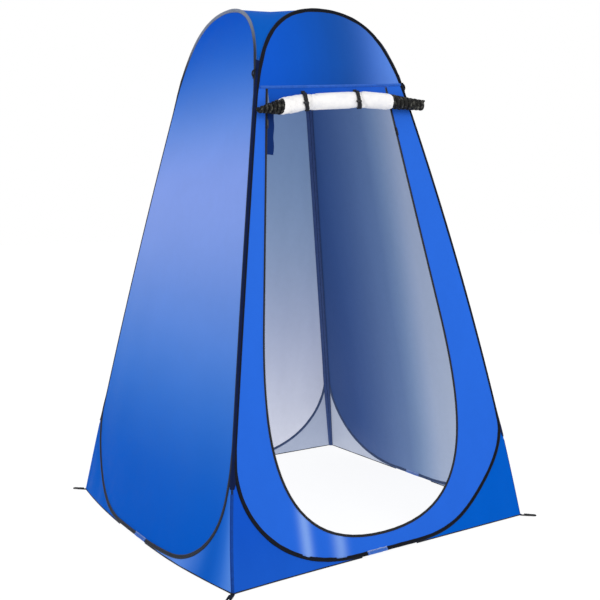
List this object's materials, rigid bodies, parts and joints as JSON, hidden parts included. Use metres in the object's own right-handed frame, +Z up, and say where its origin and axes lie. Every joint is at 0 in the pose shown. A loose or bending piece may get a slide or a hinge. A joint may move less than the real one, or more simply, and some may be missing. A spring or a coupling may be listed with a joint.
{
  "type": "privacy shower tent",
  "caption": "Tall pop-up privacy tent: spring hoops round cloth sides that fold flat at the corner seams, a door flap rolled up over an arched zipped opening, and peg loops.",
  "frame": {"origin": "on the ground at the middle of the base", "axes": "+Z up, the door faces -Y, +X is the tent's right side seen from in front of the door"},
  "size_m": [1.3664, 1.3664, 1.8999],
  "materials": {
    "tent_cloth": "coated polyester, blue outside, silver inside",
    "roof_cloth": "coated polyester",
    "flap_cloth": "coated polyester",
    "door_cloth": "white lining side of the rolled door",
    "binding": "black binding tape",
    "patch_cloth": "light woven patch",
    "webbing": "ribbed webbing",
    "cord": "braided cord",
    "zip_tape": "zip tape with coil teeth",
    "zip_metal": "black lacquer",
    "toggle_plastic": "moulded",
    "spring_steel": "bare spring steel",
    "ferrule_steel": "crimped"
  },
  "bodies": {
    "back": {"back_ferrule": "ferrule_steel", "back_gusset_left": "tent_cloth", "back_gusset_right": "tent_cloth", "back_hoop_wire": "spring_steel", "back_panel": "tent_cloth", "back_patch": "patch_cloth", "back_roof": "roof_cloth", "back_sleeve": "binding", "guy_loop_back_left": "cord", "guy_loop_back_right": "cord"},
    "right": {"right_ferrule": "ferrule_steel", "right_gusset_left": "tent_cloth", "right_gusset_right": "tent_cloth", "right_hoop_wire": "spring_steel", "right_panel": "tent_cloth", "right_patch": "patch_cloth", "right_roof": "roof_cloth", "right_sleeve": "binding", "guy_loop_front_right": "cord"},
    "left": {"left_ferrule": "ferrule_steel", "left_gusset_left": "tent_cloth", "left_gusset_right": "tent_cloth", "left_hoop_wire": "spring_steel", "left_panel": "tent_cloth", "left_patch": "patch_cloth", "left_roof": "roof_cloth", "left_sleeve": "binding", "guy_loop_front_left": "cord"},
    "front": {"front_cap_panel": "tent_cloth", "front_ferrule": "ferrule_steel", "front_gusset_left": "tent_cloth", "front_gusset_right": "tent_cloth", "front_hoop_wire": "spring_steel", "front_panel": "tent_cloth", "front_patch": "patch_cloth", "front_roof": "roof_cloth", "front_sleeve": "binding", "header_tape": "tent_cloth", "zip_tape": "zip_tape", "side_flap": "flap_cloth"},
    "door_roll": {"door_roll": "door_cloth", "roll_tie_left": "webbing", "roll_tie_right": "webbing"},
    "toggle_left": {"tie_toggle_left": "toggle_plastic"},
    "toggle_right": {"tie_toggle_right": "toggle_plastic"},
    "slider_left": {"zip_slider_left": "zip_metal"},
    "slider_right": {"zip_slider_right": "zip_metal"},
    "pull_left": {"zip_pull_left": "zip_metal"},
    "pull_right": {"zip_pull_right": "zip_metal"},
    "peg_front_left": {"peg_loop_front_left": "webbing"},
    "peg_front_right": {"peg_loop_front_right": "webbing"},
    "peg_back_left": {"peg_loop_back_left": "webbing"},
    "peg_back_right": {"peg_loop_back_right": "webbing"}
  },
  "joints": [
    {"name": "fold_flat", "type": "hinge", "parent": "back", "child": "right", "pos_m": [0.634, 0.634, 0], "axis": [-0.1902, -0.1902, 0.9631], "range_deg": [0, 86], "deforming": ["back_roof", "right_roof"]},
    {"name": "fold_left", "type": "hinge", "parent": "back", "child": "left", "pos_m": [-0.634, 0.634, 0], "axis": [0.1902, -0.1902, 0.9631], "range_deg": [0, 86], "deforming": ["left_roof"]},
    {"name": "fold_front", "type": "hinge", "parent": "right", "child": "front", "pos_m": [0.634, -0.634, 0], "axis": [-0.1902, 0.1902, 0.9631], "range_deg": [-86, 0], "deforming": ["front_roof"]},
    {"name": "door_roll_swing", "type": "hinge", "parent": "front", "child": "door_roll", "pos_m": [-0.02, -0.32188, 1.60821], "axis": [-0.9959, -0.0176, -0.0889], "range_deg": [0, 55]},
    {"name": "toggle_turn_left", "type": "hinge", "parent": "door_roll", "child": "toggle_left", "pos_m": [-0.16982, -0.39905, 1.53628], "axis": [0.0436, -0.9461, -0.3209], "range_deg": [-90, 90]},
    {"name": "toggle_turn_right", "type": "hinge", "parent": "door_roll", "child": "toggle_right", "pos_m": [0.05731, -0.3952, 1.55578], "axis": [0.0436, -0.9461, -0.3209], "range_deg": [-90, 90]},
    {"name": "zip_slide_left", "type": "slide", "parent": "front", "child": "slider_left", "axis": [-0.1437, -0.1917, -0.9709], "range_m": [0, 0.74]},
    {"name": "zip_pull_left", "type": "hinge", "parent": "slider_left", "child": "pull_left", "pos_m": [-0.29821, -0.35479, 1.47413], "axis": [-0.9896, 0.0278, 0.141], "range_deg": [0, 110]},
    {"name": "zip_slide_right", "type": "slide", "parent": "front", "child": "slider_right", "axis": [0.1437, -0.1917, -0.9709], "range_m": [0, 0.74]},
    {"name": "zip_pull_right", "type": "hinge", "parent": "slider_right", "child": "pull_right", "pos_m": [0.25821, -0.35479, 1.47413], "axis": [-0.9896, -0.0278, -0.141], "range_deg": [0, 110]},
    {"name": "peg_loop_front_left", "type": "hinge", "parent": "left", "child": "peg_front_left", "pos_m": [-0.6468, -0.6468, 0.0015], "axis": [-0.7071, 0.7071, 0], "range_deg": [0, 85]},
    {"name": "peg_loop_front_right", "type": "hinge", "parent": "right", "child": "peg_front_right", "pos_m": [0.6468, -0.6468, 0.0015], "axis": [-0.7071, -0.7071, 0], "range_deg": [0, 85]},
    {"name": "peg_loop_back_left", "type": "hinge", "parent": "back", "child": "peg_back_left", "pos_m": [-0.6468, 0.6468, 0.0015], "axis": [0.7071, 0.7071, 0], "range_deg": [0, 85]},
    {"name": "peg_loop_back_right", "type": "hinge", "parent": "back", "child": "peg_back_right", "pos_m": [0.6468, 0.6468, 0.0015], "axis": [0.7071, -0.7071, 0], "range_deg": [0, 85]}
  ],
  "couplings": [
    {"joint": "fold_left", "follows": "fold_flat", "ratio": 1},
    {"joint": "fold_front", "follows": "fold_flat", "ratio": -1}
  ]
}
